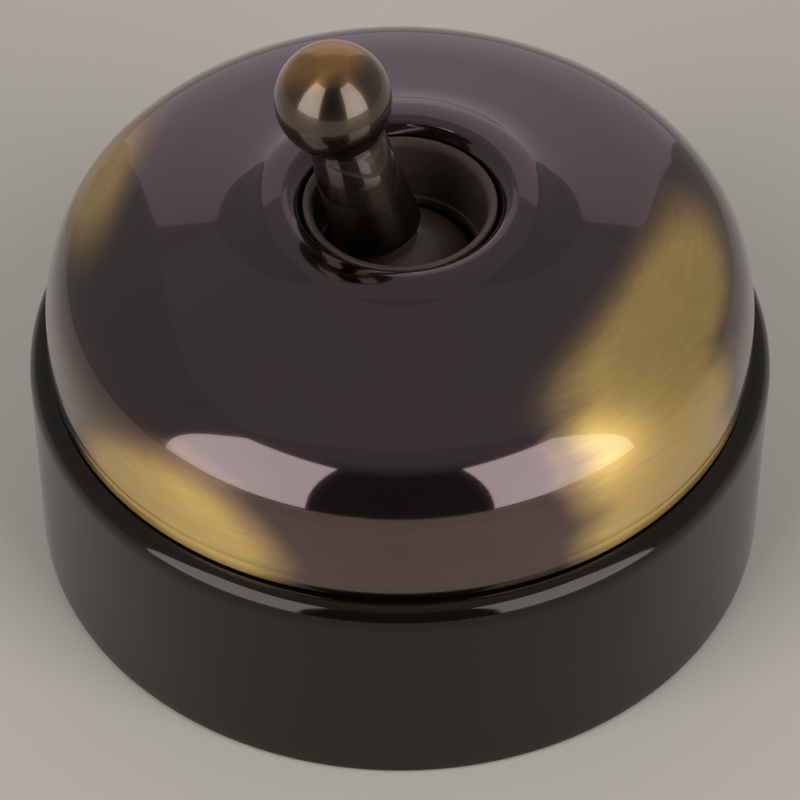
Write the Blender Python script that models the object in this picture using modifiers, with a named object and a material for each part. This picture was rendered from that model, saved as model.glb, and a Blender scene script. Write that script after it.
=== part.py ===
"""A round surface-mounted toggle switch, two-way, 63 mm across and 51 mm proud of the wall.

A glazed porcelain base screws to the wall with its back face at z = 0. A spun brass cover
screws down on a brass thread ring round the base's spigot. The ball-ended lever rocks on a pin
in the XZ plane; a sprung plunger in its tail tips the V-shaped contact rocker the other way.
Sizes are in metres, +Z points out of the wall, and the lever leans towards -X at rest.
"""

import math

import bmesh
import bpy

MM = 0.001
GAP = 0.3 * MM  # between pieces that rest on each other or pass through each other
RUNNING_GAP = 0.1 * MM  # round the pivot pin
MERGE = 0.01 * MM
ROUND = 48  # segments of the large turned pieces
MEDIUM = 32
SMALL = 24
FINE = 16
OVERCUT = 1.0 * MM  # how far a cutter reaches past the face that it opens

# Porcelain base
BASE_RADIUS = 31.5 * MM
LEDGE_HEIGHT = 20.0 * MM
SHOULDER_ROUND = 2.4 * MM
SHOULDER_POWER = 2.8  # 2 would be a quarter circle; more is squarer
FOOT_ROUND = 0.6 * MM
RECESS_RADIUS = 25.0 * MM
WEB_BOTTOM = 5.0 * MM
WEB_TOP = 9.0 * MM
CAVITY_RADIUS = 24.5 * MM
SPIGOT_RADIUS = 27.0 * MM
SPIGOT_TOP = 24.0 * MM
SPIGOT_CHAMFER = 0.4 * MM
SEAT = WEB_TOP + GAP  # where the mechanism stands

# Holes in the porcelain web
WALL_SCREW_AT = (10.0 * MM, 15.0 * MM)  # and the point opposite it
WALL_SCREW_RADIUS = 2.25 * MM
COUNTERSINK_RADIUS = 4.2 * MM
CABLE_SLOT_AT = (3.0 * MM, -18.5 * MM)
CABLE_SLOT_SIZE = (12.0 * MM, 7.0 * MM)
CABLE_HOLE_AT = (-8.5 * MM, 18.5 * MM)
CABLE_HOLE_RADIUS = 3.0 * MM

# Thread ring and cover
RING_INNER = SPIGOT_RADIUS + GAP
RING_OUTER = 28.7 * MM
COVER_RADIUS = 29.84 * MM
COVER_THICKNESS = 0.8 * MM
SKIRT_TOP = 22.8 * MM
DOME_START = 18.9 * MM
DOME_HEIGHT = 15.09 * MM
DOME_SIDE_POWER = 5.842
DOME_TOP_POWER = 3.962
DOME_STEPS = 12
LINING_STEPS = 8
THROAT_BOTTOM = 33.4 * MM
LIP_SLOPES = (  # radius in mm, and how steeply the cover falls outwards there in degrees
    (8.3, -65.0),
    (8.75, -45.0),
    (9.35, -12.0),
    (9.7, 0.0),
    (11.2, 12.0),
    (12.1, 27.0),
    (13.0, 20.0),
    (15.0, 12.0),
    (20.0, 11.5),
    (24.0, 18.5),
)
LIP_STEPS = 2  # between two of those radii
LINING_INSET = 1.2 * MM
LINING_THICKNESS = 0.4 * MM
LINING_HOLE = 14.0 * MM
LINING_BOTTOM = 26.0 * MM

# Toggle cup
CUP_RIM = 35.45 * MM
CUP_OUTER = 8.02 * MM
CUP_INNER = 7.15 * MM
CUP_RIM_ROUND = 0.7 * MM
CUP_FLOOR_INNER = 7.0 * MM
CUP_FLOOR_TOP = 29.8 * MM
CUP_FLOOR_BOTTOM = 29.0 * MM
CUP_OPENING = 6.75 * MM
CUP_UNDERCUT = 7.8 * MM
CUP_FLANGE_RADIUS = 12.4 * MM
CUP_FLANGE_TOP = 29.8 * MM
CUP_BOTTOM = 28.3 * MM

# Lever, measured along its own axis from the pivot
PIVOT_HEIGHT = 24.3 * MM
LEAN = 13.4  # degrees each side of upright
PIN_RADIUS = 1.0 * MM
PIN_LENGTH = 14.4 * MM
BALL_CENTRE = 23.0 * MM
BALL_RADIUS = 4.745 * MM
STEM_TOP_RADIUS = 3.1 * MM
STEM_FOOT_RADIUS = 3.85 * MM
STEM_FOOT = 8.6 * MM
STEM_CHAMFER = 0.3 * MM
STUD_RADIUS = 1.25 * MM
STUD_BOTTOM = 4.9 * MM
STUD_TOP = 14.6 * MM
CAP_RADIUS = 7.85 * MM
CAP_THICKNESS = 0.8 * MM
CAP_HALF_ANGLE = 60.0
CAP_UNDERCUT = 30.0  # degrees of the cap that stand clear of the neck
CAP_SEAT = STEM_FOOT - GAP
COLLAR_RADIUS = 3.2 * MM
NECK_RADIUS = 2.6 * MM
NECK_TOP = 6.2 * MM
HUB_RADIUS = 3.8 * MM
TAIL_RADIUS = 2.6 * MM
TAIL_BOTTOM = -6.8 * MM
BORE_RADIUS = 1.6 * MM
BORE_END = -2.4 * MM
PLUNGER_TIP_CENTRE = -8.3 * MM
PLUNGER_RADIUS = 1.3 * MM
PLUNGER_SHOULDER = -5.6 * MM
PLUNGER_STEM_RADIUS = 0.55 * MM
PLUNGER_STEM_TOP = -4.2 * MM
SPRING_COIL_RADIUS = 1.05 * MM
SPRING_WIRE_RADIUS = 0.18 * MM
SPRING_TURNS = 4
SPRING_STEPS_PER_TURN = 10

# Contact rocker and its fixed contacts
FULCRUM_HEIGHT = 13.35 * MM
ROCKER_TILT = 8.0  # degrees each side of level
WING_ANGLE = 14.0
WING_LENGTH = 8.2 * MM
WING_MIDDLE = 0.6 * MM  # height of the strip's middle above the fulcrum
STRIP_THICKNESS = 0.8 * MM
ROCKER_WIDTH = 5.6 * MM
TIP_RADIUS = 1.2 * MM
TIP_HEIGHT = 0.55 * MM
TIP_REACH = 7.0 * MM
TIP_GAP = 0.05 * MM
FIXED_TIP_X = 7.15 * MM
STRIP_WIDTH = 5.0 * MM
STRIP_INNER_X = 5.2 * MM
STRIP_OUTER_X = 22.0 * MM
STRIP_BOTTOM = 11.9 * MM
SADDLE_TOP = FULCRUM_HEIGHT - RUNNING_GAP
SADDLE_HALF_WIDTH = 2.6 * MM
RIDGE_HALF_WIDTH = 2.1 * MM
SADDLE_EDGE = 0.3 * MM
SADDLE_DEPTH = 6.0 * MM
TONGUE_END_Y = 20.3 * MM

# Mechanism housing
HOUSING_SIZE = (26.0 * MM, 15.0 * MM)
HOUSING_TOP = 28.0 * MM
HOUSING_ROUND = 1.2 * MM
WELL_SIZE = (12.4 * MM, 8.4 * MM)
CAP_RECESS_RADIUS = 8.2 * MM
CAP_RECESS_FLOOR = 25.9 * MM
TUNNEL_WIDTH = 8.0 * MM
TUNNEL_TOP = 20.0 * MM
PLATFORM_TOP = STRIP_BOTTOM - GAP
PLATFORM_END_X = 22.3 * MM
PLATFORM_WIDTH = 7.6 * MM
FOOT_AT = (9.5 * MM, -10.5 * MM)  # and the point opposite it
FOOT_SIZE = (6.4 * MM, 7.4 * MM)
FOOT_TOP = 15.5 * MM
FOOT_HOLE_DEPTH = 5.0 * MM

# Terminals: a brass block with a clamp screw and a cross hole for the wire
BLOCK_SIZE = (6.4 * MM, 7.0 * MM, 7.0 * MM)
EARTH_BLOCK_SIZE = (5.0 * MM, 5.0 * MM, 7.0 * MM)
BLOCK_ROUND = 0.5 * MM
WIRE_HOLE_RADIUS = 1.5 * MM
WIRE_HOLE_HEIGHT = 3.0 * MM
LINE_BLOCK_X = 18.8 * MM
COMMON_BLOCK_Y = 16.8 * MM
EARTH_ANGLE = 207.2
EARTH_RADIUS = 19.7 * MM
EARTH_STRAP_THICKNESS = 0.5 * MM
EARTH_STRAP_WIDTH = 4.0 * MM

# Screws: head radius, head height, shank radius, shank length
TERMINAL_SCREW = (2.0 * MM, 1.5 * MM, 1.15 * MM, 2.9 * MM)
CUP_SCREW = (1.7 * MM, 1.2 * MM, 0.9 * MM, 6.0 * MM)
CUP_SCREW_X = 10.4 * MM
MECHANISM_SCREW = (2.4 * MM, 1.5 * MM, 1.3 * MM, 7.0 * MM)
COUNTERBORE_RADIUS = 2.9 * MM
COUNTERBORE_TOP = 6.9 * MM
SLOT_WIDTH = 0.6 * MM
SLOT_DEPTH = 0.6 * MM
SLOT_TURN = 30.0  # degrees from the block's side
SCREW_CHAMFER = 0.25  # of the head's height

# Materials: colour, roughness, metallic
FINISHES = {
    "black_porcelain": ((0.012, 0.009, 0.008), 0.08, 0.0),
    "antique_brass": ((0.20, 0.13, 0.07), 0.22, 1.0),
    "knob_brass": ((0.22, 0.15, 0.08), 0.2, 1.0),
    "brown_moulding": ((0.030, 0.016, 0.011), 0.35, 0.0),
    "bakelite": ((0.022, 0.012, 0.009), 0.4, 0.0),
    "terminal_brass": ((0.60, 0.43, 0.18), 0.3, 1.0),
    "contact_copper": ((0.62, 0.33, 0.19), 0.3, 1.0),
    "contact_silver": ((0.80, 0.79, 0.76), 0.22, 1.0),
    "steel": ((0.50, 0.50, 0.50), 0.3, 1.0),
    "fibre_lining": ((0.16, 0.07, 0.035), 0.8, 0.0),
}


def clear_scene():
    for obj in list(bpy.data.objects):
        bpy.data.objects.remove(obj, do_unlink=True)


def make_collection(name):
    collection = bpy.data.collections.new(name)
    bpy.context.scene.collection.children.link(collection)
    return collection


def make_materials():
    """One Principled BSDF for each finish."""
    made = {}
    for name, (colour, roughness, metallic) in FINISHES.items():
        material = bpy.data.materials.new(name)
        material.use_nodes = True
        shader = material.node_tree.nodes["Principled BSDF"]
        shader.inputs["Base Color"].default_value = (*colour, 1.0)
        shader.inputs["Roughness"].default_value = roughness
        shader.inputs["Metallic"].default_value = metallic
        made[name] = material
    return made


def make_axis(name, height, tilt):
    """An empty on a joint's axis, turned about Y by tilt degrees."""
    axis = bpy.data.objects.new(name, None)
    axis.location = (0, 0, height)
    axis.rotation_euler = (0, math.radians(tilt), 0)
    PARTS.objects.link(axis)
    return axis


def as_part(obj, finish, location=(0, 0, 0), turn=(0, 0, 0), parent=None):
    """Adds a piece to the switch, placed in its parent's frame."""
    obj.data.materials.append(MATERIALS[finish])
    obj.location = location
    obj.rotation_euler = [math.radians(angle) for angle in turn]
    obj.parent = parent
    PARTS.objects.link(obj)
    return obj


def as_cutter(obj, location=(0, 0, 0), turn=(0, 0, 0)):
    obj.location = location
    obj.rotation_euler = [math.radians(angle) for angle in turn]
    obj.hide_render = True
    obj.display_type = "WIRE"
    CUTTERS.objects.link(obj)
    return obj


def combine(target, tool, operation):
    modifier = target.modifiers.new(f"{operation.title()} {tool.name}", "BOOLEAN")
    modifier.operation = operation
    modifier.object = tool


def arc(centre, radius, start, end, steps):
    """Points round part of a circle, both ends included; angles in degrees from +X towards +Z."""
    points = []
    for step in range(steps + 1):
        angle = math.radians(start + (end - start) * step / steps)
        points.append((centre[0] + radius * math.cos(angle), centre[1] + radius * math.sin(angle)))
    return points


def turned(name, outline, segments, closed=False):
    """A profile of (radius, height) points swept round Z, which runs down its outer side."""
    edges = [(index, index + 1) for index in range(len(outline) - 1)]
    if closed:
        edges.append((len(outline) - 1, 0))
    mesh = bpy.data.meshes.new(name)
    mesh.from_pydata([(radius, 0, height) for radius, height in outline], edges, [])
    obj = bpy.data.objects.new(name, mesh)
    screw = obj.modifiers.new("Turn", "SCREW")
    screw.steps = segments
    screw.render_steps = segments
    screw.use_merge_vertices = True
    screw.merge_threshold = MERGE
    screw.use_smooth_shade = True
    return obj


def mesh_object(name, build):
    """An object whose mesh the build function makes."""
    bm = bmesh.new()
    build(bm)
    mesh = bpy.data.meshes.new(name)
    bm.to_mesh(mesh)
    bm.free()
    return bpy.data.objects.new(name, mesh)


def box(name, size, rounding=0.0):
    """A box centred on Z that stands on z = 0, with its upright edges rounded."""

    def build(bm):
        bmesh.ops.create_cube(bm, size=1)
        bmesh.ops.scale(bm, vec=size, verts=bm.verts)
        bmesh.ops.translate(bm, vec=(0, 0, size[2] / 2), verts=bm.verts)
        if rounding:
            upright = [e for e in bm.edges if abs(e.verts[0].co.z - e.verts[1].co.z) > size[2] / 2]
            bmesh.ops.bevel(bm, geom=upright, offset=rounding, segments=4, affect="EDGES", profile=0.5)

    return mesh_object(name, build)


def cylinder(name, radius, height, segments, top_radius=None):
    """A cylinder or cone that stands on z = 0."""

    def build(bm):
        top = radius if top_radius is None else top_radius
        bmesh.ops.create_cone(
            bm, cap_ends=True, segments=segments, radius1=radius, radius2=top, depth=height
        )
        bmesh.ops.translate(bm, vec=(0, 0, height / 2), verts=bm.verts)

    return mesh_object(name, build)


def bent_strip(name, line, width, thickness):
    """A strip whose middle follows the (x, z) points of line, centred on y = 0."""
    half = width / 2
    points = [(x, side * half, z) for side in (-1, 1) for x, z in line]
    count = len(line)
    faces = [(i, i + 1, count + i + 1, count + i) for i in range(count - 1)]
    mesh = bpy.data.meshes.new(name)
    mesh.from_pydata(points, [], faces)
    obj = bpy.data.objects.new(name, mesh)
    solidify = obj.modifiers.new("Thickness", "SOLIDIFY")
    solidify.thickness = thickness
    solidify.offset = 0
    solidify.use_even_offset = True
    return obj


def opposite(point):
    return (-point[0], -point[1])


def shoulder_points(steps):
    """The rounded edge between the ledge and the wall, from the ledge down."""
    points = []
    for step in range(steps + 1):
        angle = math.radians(90 * (1 - step / steps))
        outward = abs(math.cos(angle)) ** (2 / SHOULDER_POWER) - 1
        upward = abs(math.sin(angle)) ** (2 / SHOULDER_POWER) - 1
        points.append((BASE_RADIUS + SHOULDER_ROUND * outward, LEDGE_HEIGHT + SHOULDER_ROUND * upward))
    return points


def base_outline():
    """From the middle of the web's top, over the spigot and shoulder, to the middle of its underside."""
    foot_centre = (BASE_RADIUS - FOOT_ROUND, FOOT_ROUND)
    outline = [
        (0, WEB_TOP),
        (CAVITY_RADIUS, WEB_TOP),
        (CAVITY_RADIUS, SPIGOT_TOP),
        (SPIGOT_RADIUS - SPIGOT_CHAMFER, SPIGOT_TOP),
        (SPIGOT_RADIUS, SPIGOT_TOP - SPIGOT_CHAMFER),
        (SPIGOT_RADIUS, LEDGE_HEIGHT),
    ]
    outline += shoulder_points(6)
    outline += arc(foot_centre, FOOT_ROUND, 0, -90, 2)
    outline += [(RECESS_RADIUS, 0), (RECESS_RADIUS, WEB_BOTTOM), (0, WEB_BOTTOM)]
    return outline


def make_base():
    base = as_part(turned("porcelain_base", base_outline(), ROUND), "black_porcelain")
    web = WEB_TOP - WEB_BOTTOM
    below = WEB_BOTTOM - web / 2
    through = 2 * web
    for number, (x, y) in enumerate((WALL_SCREW_AT, opposite(WALL_SCREW_AT)), start=1):
        hole = cylinder(f"wall_screw_hole_{number}", WALL_SCREW_RADIUS, through, SMALL)
        combine(base, as_cutter(hole, (x, y, below)), "DIFFERENCE")
        depth = COUNTERSINK_RADIUS - WALL_SCREW_RADIUS
        sink = cylinder(f"countersink_{number}", WALL_SCREW_RADIUS, 2 * depth, SMALL,
                        2 * COUNTERSINK_RADIUS - WALL_SCREW_RADIUS)
        combine(base, as_cutter(sink, (x, y, WEB_TOP - depth)), "DIFFERENCE")
    for number, (x, y) in enumerate((FOOT_AT, opposite(FOOT_AT)), start=1):
        hole = cylinder(f"mechanism_hole_{number}", MECHANISM_SCREW[2] + GAP, through, FINE)
        combine(base, as_cutter(hole, (x, y, below)), "DIFFERENCE")
        sink = cylinder(f"counterbore_{number}", COUNTERBORE_RADIUS, COUNTERBORE_TOP - below, SMALL)
        combine(base, as_cutter(sink, (x, y, below)), "DIFFERENCE")
    slot = box("cable_slot", (*CABLE_SLOT_SIZE, through), rounding=0.499 * CABLE_SLOT_SIZE[1])
    combine(base, as_cutter(slot, (*CABLE_SLOT_AT, below)), "DIFFERENCE")
    hole = cylinder("cable_hole", CABLE_HOLE_RADIUS, through, SMALL)
    combine(base, as_cutter(hole, (*CABLE_HOLE_AT, below)), "DIFFERENCE")


def make_thread_ring():
    outline = [
        (RING_OUTER, SPIGOT_TOP),
        (RING_OUTER, LEDGE_HEIGHT + GAP),
        (RING_INNER, LEDGE_HEIGHT + GAP),
        (RING_INNER, SPIGOT_TOP),
    ]
    as_part(turned("cover_thread_ring", outline, ROUND, closed=True), "terminal_brass")


def dome_point(share, inset):
    """A point of the spun dome, from its side (share 0) to its flat top (share 1)."""
    angle = share * math.pi / 2
    radius = (COVER_RADIUS - inset) * math.cos(angle) ** (2 / DOME_SIDE_POWER)
    height = DOME_START + (DOME_HEIGHT - inset) * math.sin(angle) ** (2 / DOME_TOP_POWER)
    return radius, height


def dome_points(inset, steps, inner_radius, lowest):
    """The dome's outline from inner_radius out and down to the height lowest."""
    points = []
    for step in range(steps, -1, -1):
        radius, height = dome_point(step / steps, inset)
        if radius > inner_radius and height > lowest:
            points.append((radius, height))
    return points


def dome_height(radius):
    """The height of the outside of the dome at a radius."""
    share = (radius / COVER_RADIUS) ** (DOME_SIDE_POWER / 2)
    return DOME_START + DOME_HEIGHT * (1 - share * share) ** (1 / DOME_TOP_POWER)


def lip_points():
    """The crown and the raised lip, from the throat's edge out to where the dome takes over."""
    radius = LIP_SLOPES[-1][0] * MM
    height = dome_height(radius)
    points = [(radius, height)]
    for (inner, inner_slope), (outer, outer_slope) in reversed(list(zip(LIP_SLOPES, LIP_SLOPES[1:]))):
        width = (outer - inner) * MM / LIP_STEPS
        for step in range(LIP_STEPS):
            share = (step + 0.5) / LIP_STEPS
            slope = outer_slope + (inner_slope - outer_slope) * share
            radius -= width
            height += width * math.tan(math.radians(slope))
            points.append((radius, height))
    return points[::-1]


def cover_outline():
    """From the throat's lower edge, over the raised lip and the dome, down to the skirt's edge."""
    lip = lip_points()
    outline = [(lip[0][0], THROAT_BOTTOM)] + lip
    outline += dome_points(0, DOME_STEPS, lip[-1][0] + COVER_THICKNESS, SKIRT_TOP)
    outline += [(COVER_RADIUS, SKIRT_TOP), (COVER_RADIUS, LEDGE_HEIGHT + GAP)]
    return outline


def make_shell(name, outline, thickness, segments, finish):
    shell = as_part(turned(name, outline, segments), finish)
    solidify = shell.modifiers.new("Thickness", "SOLIDIFY")
    solidify.thickness = thickness
    solidify.offset = -1
    solidify.use_even_offset = True


def make_cover():
    make_shell("brass_cover", cover_outline(), COVER_THICKNESS, ROUND, "antique_brass")
    lining = dome_points(LINING_INSET, LINING_STEPS, LINING_HOLE, LINING_BOTTOM)
    make_shell("cover_insulating_liner", lining, LINING_THICKNESS, SMALL, "fibre_lining")


def make_cup():
    rounding = (CUP_INNER + CUP_RIM_ROUND, CUP_RIM - CUP_RIM_ROUND)
    outline = arc(rounding, CUP_RIM_ROUND, 180, 90, 5)
    outline += [
        (CUP_OUTER, CUP_RIM),
        (CUP_OUTER, CUP_FLANGE_TOP),
        (CUP_FLANGE_RADIUS, CUP_FLANGE_TOP),
        (CUP_FLANGE_RADIUS, CUP_BOTTOM),
        (CUP_UNDERCUT, CUP_BOTTOM),
        (CUP_OPENING, CUP_FLOOR_BOTTOM),
        (CUP_OPENING, CUP_FLOOR_TOP),
        (CUP_FLOOR_INNER, CUP_FLOOR_TOP),
    ]
    cup = as_part(turned("toggle_cup", outline, MEDIUM, closed=True), "brown_moulding")
    for side, label in ((-1, "left"), (1, "right")):
        depth = CUP_FLANGE_TOP - CUP_BOTTOM + 2 * OVERCUT
        hole = cylinder(f"cup_hole_{label}", CUP_SCREW[2] + GAP, depth, FINE)
        combine(cup, as_cutter(hole, (side * CUP_SCREW_X, 0, CUP_BOTTOM - OVERCUT)), "DIFFERENCE")


def knob_outline():
    """From the top of the ball down the tapered stem and up the stud's hole."""
    joint_angle = math.degrees(math.acos(STEM_TOP_RADIUS / BALL_RADIUS))
    outline = arc((0, BALL_CENTRE), BALL_RADIUS, 90, -joint_angle, 11)
    outline[0] = (0, BALL_CENTRE + BALL_RADIUS)
    hole = STUD_RADIUS + GAP
    outline += [
        (STEM_FOOT_RADIUS, STEM_FOOT + STEM_CHAMFER),
        (STEM_FOOT_RADIUS - STEM_CHAMFER, STEM_FOOT),
        (hole, STEM_FOOT),
        (hole, STUD_TOP + GAP),
        (0, STUD_TOP + GAP),
    ]
    return outline


def rocker_outline():
    """From the stud's hole, over the collar, cap, neck, hub and tail, and up the plunger's bore."""
    collar_angle = math.degrees(math.acos(COLLAR_RADIUS / CAP_RADIUS))
    rim_angle = 90 - CAP_HALF_ANGLE
    inside = CAP_RADIUS - CAP_THICKNESS
    neck_join = math.degrees(math.acos(NECK_RADIUS / HUB_RADIUS))
    hole = STUD_RADIUS + GAP
    outline = [(0, STUD_BOTTOM - GAP), (hole, STUD_BOTTOM - GAP), (hole, CAP_SEAT), (COLLAR_RADIUS, CAP_SEAT)]
    outline += arc((0, 0), CAP_RADIUS, collar_angle, rim_angle, 4)
    outline += arc((0, 0), inside, rim_angle, rim_angle + CAP_UNDERCUT, 4)
    outline += [(NECK_RADIUS, NECK_TOP)]
    outline += arc((0, 0), HUB_RADIUS, neck_join, -neck_join, 6)
    outline += [
        (TAIL_RADIUS, TAIL_BOTTOM),
        (BORE_RADIUS, TAIL_BOTTOM),
        (BORE_RADIUS, BORE_END),
        (0, BORE_END),
    ]
    return outline


def plunger_outline():
    """From the top of its stem, over the spring's shoulder, to the round tip."""
    outline = [
        (0, PLUNGER_STEM_TOP),
        (PLUNGER_STEM_RADIUS, PLUNGER_STEM_TOP),
        (PLUNGER_STEM_RADIUS, PLUNGER_SHOULDER),
        (PLUNGER_RADIUS, PLUNGER_SHOULDER),
    ]
    outline += arc((0, PLUNGER_TIP_CENTRE), PLUNGER_RADIUS, 0, -90, 5)
    outline[-1] = (0, PLUNGER_TIP_CENTRE - PLUNGER_RADIUS)
    return outline


def make_spring(lever_axis):
    """A helix of round wire between the plunger's shoulder and the end of its bore."""
    curve = bpy.data.curves.new("plunger_spring", "CURVE")
    curve.dimensions = "3D"
    curve.bevel_depth = SPRING_WIRE_RADIUS
    curve.bevel_resolution = 2
    curve.use_fill_caps = True
    count = SPRING_TURNS * SPRING_STEPS_PER_TURN + 1
    low = PLUNGER_SHOULDER + SPRING_WIRE_RADIUS + RUNNING_GAP
    high = BORE_END - SPRING_WIRE_RADIUS - RUNNING_GAP
    spline = curve.splines.new("POLY")
    spline.points.add(count - 1)
    for index, point in enumerate(spline.points):
        angle = 2 * math.pi * index / SPRING_STEPS_PER_TURN
        height = low + (high - low) * index / (count - 1)
        point.co = (SPRING_COIL_RADIUS * math.cos(angle), SPRING_COIL_RADIUS * math.sin(angle), height, 1)
    as_part(bpy.data.objects.new("plunger_spring", curve), "steel", parent=lever_axis)


def make_lever():
    lever_axis = make_axis("lever_axis", PIVOT_HEIGHT, -LEAN)
    as_part(turned("toggle_knob", knob_outline(), MEDIUM), "knob_brass", parent=lever_axis)
    stud = cylinder("knob_stud", STUD_RADIUS, STUD_TOP - STUD_BOTTOM, FINE)
    as_part(stud, "steel", (0, 0, STUD_BOTTOM), parent=lever_axis)
    rocker = as_part(turned("toggle_rocker", rocker_outline(), SMALL), "brown_moulding", parent=lever_axis)
    combine(rocker, pin_hole("rocker_pin_hole"), "DIFFERENCE")
    as_part(turned("plunger", plunger_outline(), FINE), "steel", parent=lever_axis)
    make_spring(lever_axis)


def pin_hole(name):
    """A cutter along the pivot, longer than the pin."""
    length = 1.5 * PIN_LENGTH
    hole = cylinder(name, PIN_RADIUS + RUNNING_GAP, length, SMALL)
    return as_cutter(hole, (0, length / 2, PIVOT_HEIGHT), (90, 0, 0))


def make_pin():
    pin = cylinder("pivot_pin", PIN_RADIUS, PIN_LENGTH, SMALL)
    as_part(pin, "steel", (0, PIN_LENGTH / 2, PIVOT_HEIGHT), (90, 0, 0))


def make_housing():
    """A moulded block with a well for the lever under a round recess, a tunnel for the contacts, and feet."""
    block = box("mechanism_housing", (*HOUSING_SIZE, HOUSING_TOP - SEAT), HOUSING_ROUND)
    housing = as_part(block, "bakelite", (0, 0, SEAT))
    size = (2 * PLATFORM_END_X, PLATFORM_WIDTH, PLATFORM_TOP - SEAT)
    combine(housing, as_cutter(box("platforms", size, BLOCK_ROUND), (0, 0, SEAT)), "UNION")
    for number, (x, y) in enumerate((FOOT_AT, opposite(FOOT_AT)), start=1):
        foot = box(f"foot_{number}", (*FOOT_SIZE, FOOT_TOP - SEAT), HOUSING_ROUND)
        combine(housing, as_cutter(foot, (x, y, SEAT)), "UNION")
        depth = OVERCUT + FOOT_HOLE_DEPTH
        hole = cylinder(f"foot_hole_{number}", MECHANISM_SCREW[2] + GAP, depth, FINE)
        combine(housing, as_cutter(hole, (x, y, SEAT - OVERCUT)), "DIFFERENCE")
    well = box("lever_well", (*WELL_SIZE, HOUSING_TOP), BLOCK_ROUND)
    combine(housing, as_cutter(well, (0, 0, SEAT - OVERCUT)), "DIFFERENCE")
    recess = cylinder("cap_recess", CAP_RECESS_RADIUS, HOUSING_TOP, SMALL)
    combine(housing, as_cutter(recess, (0, 0, CAP_RECESS_FLOOR)), "DIFFERENCE")
    tunnel = box("contact_tunnel", (2 * HOUSING_SIZE[0], TUNNEL_WIDTH, TUNNEL_TOP - PLATFORM_TOP))
    combine(housing, as_cutter(tunnel, (0, 0, PLATFORM_TOP)), "DIFFERENCE")
    length = HOUSING_SIZE[1]
    slot = box("tongue_slot", (2 * (SADDLE_HALF_WIDTH + GAP), length, STRIP_THICKNESS + GAP + OVERCUT))
    combine(housing, as_cutter(slot, (0, length / 2, SEAT - OVERCUT)), "DIFFERENCE")
    combine(housing, pin_hole("housing_pin_hole"), "DIFFERENCE")
    for side, label in ((-1, "left"), (1, "right")):
        hole = cylinder(f"housing_cup_hole_{label}", CUP_SCREW[2] + GAP, 2 * CUP_SCREW[3], FINE)
        combine(housing, as_cutter(hole, (side * CUP_SCREW_X, 0, HOUSING_TOP - CUP_SCREW[3])), "DIFFERENCE")


def make_screw(name, sizes, finish, location, turn=(0, 0, 0)):
    """A slotted screw: its head stands on z = 0 and its shank hangs below."""
    head_radius, head_height, shank_radius, shank_length = sizes
    chamfer = SCREW_CHAMFER * head_height
    outline = [
        (0, head_height),
        (head_radius - chamfer, head_height),
        (head_radius, head_height - chamfer),
        (head_radius, 0),
        (shank_radius, 0),
        (shank_radius, -shank_length + chamfer),
        (shank_radius - chamfer, -shank_length),
        (0, -shank_length),
    ]
    screw = as_part(turned(name, outline, FINE), finish, location, turn)
    slot = as_cutter(box(f"{name}_slot", (3 * head_radius, SLOT_WIDTH, head_height)))
    slot.parent = screw
    slot.location = (0, 0, head_height - SLOT_DEPTH)
    combine(screw, slot, "DIFFERENCE")


def make_fasteners():
    for side, label in ((-1, "left"), (1, "right")):
        at = (side * CUP_SCREW_X, 0, CUP_FLANGE_TOP + GAP)
        make_screw(f"cup_screw_{label}", CUP_SCREW, "steel", at)
    for number, (x, y) in enumerate((FOOT_AT, opposite(FOOT_AT)), start=1):
        at = (x, y, COUNTERBORE_TOP - GAP)
        make_screw(f"mechanism_screw_{number}", MECHANISM_SCREW, "steel", at, (180, 0, 0))


def make_terminal(label, size, location, turn):
    """A block and its clamp screw, with the wire hole across it."""
    name = f"terminal_block_{label}"
    block = as_part(box(name, size, BLOCK_ROUND), "terminal_brass", location, (0, 0, turn))
    length = 2 * size[1]
    wire_hole = as_cutter(cylinder(f"wire_hole_{label}", WIRE_HOLE_RADIUS, length, FINE), turn=(90, 0, 0))
    wire_hole.parent = block
    wire_hole.location = (0, length / 2, WIRE_HOLE_HEIGHT)
    combine(block, wire_hole, "DIFFERENCE")
    depth = size[2] - WIRE_HOLE_HEIGHT
    screw_hole = as_cutter(cylinder(f"clamp_hole_{label}", TERMINAL_SCREW[2] + GAP, 2 * depth, FINE))
    screw_hole.parent = block
    screw_hole.location = (0, 0, WIRE_HOLE_HEIGHT)
    combine(block, screw_hole, "DIFFERENCE")
    head = (location[0], location[1], location[2] + size[2] + GAP)
    make_screw(f"terminal_screw_{label}", TERMINAL_SCREW, "terminal_brass", head, (0, 0, turn + SLOT_TURN))


def make_terminals():
    on_strip = STRIP_BOTTOM + STRIP_THICKNESS + GAP
    on_web = SEAT + STRIP_THICKNESS + GAP
    make_terminal("right", BLOCK_SIZE, (LINE_BLOCK_X, 0, on_strip), 0)
    make_terminal("left", BLOCK_SIZE, (-LINE_BLOCK_X, 0, on_strip), 0)
    make_terminal("common", BLOCK_SIZE, (0, COMMON_BLOCK_Y, on_web), 90)
    angle = math.radians(EARTH_ANGLE)
    at = (EARTH_RADIUS * math.cos(angle), EARTH_RADIUS * math.sin(angle), on_web)
    make_terminal("earth", EARTH_BLOCK_SIZE, at, EARTH_ANGLE)


def make_earth_strap():
    """A strip under the earth block, up the cavity's wall and over the spigot to the thread ring."""
    half = EARTH_STRAP_THICKNESS / 2
    upright = CAVITY_RADIUS - GAP - half
    line = [
        (EARTH_RADIUS - EARTH_BLOCK_SIZE[0] / 2, SEAT + half),
        (upright, SEAT + half),
        (upright, SPIGOT_TOP + GAP + half),
        (RING_OUTER - GAP, SPIGOT_TOP + GAP + half),
    ]
    strap = bent_strip("earth_strap", line, EARTH_STRAP_WIDTH, EARTH_STRAP_THICKNESS)
    as_part(strap, "terminal_brass", turn=(0, 0, EARTH_ANGLE))


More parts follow.
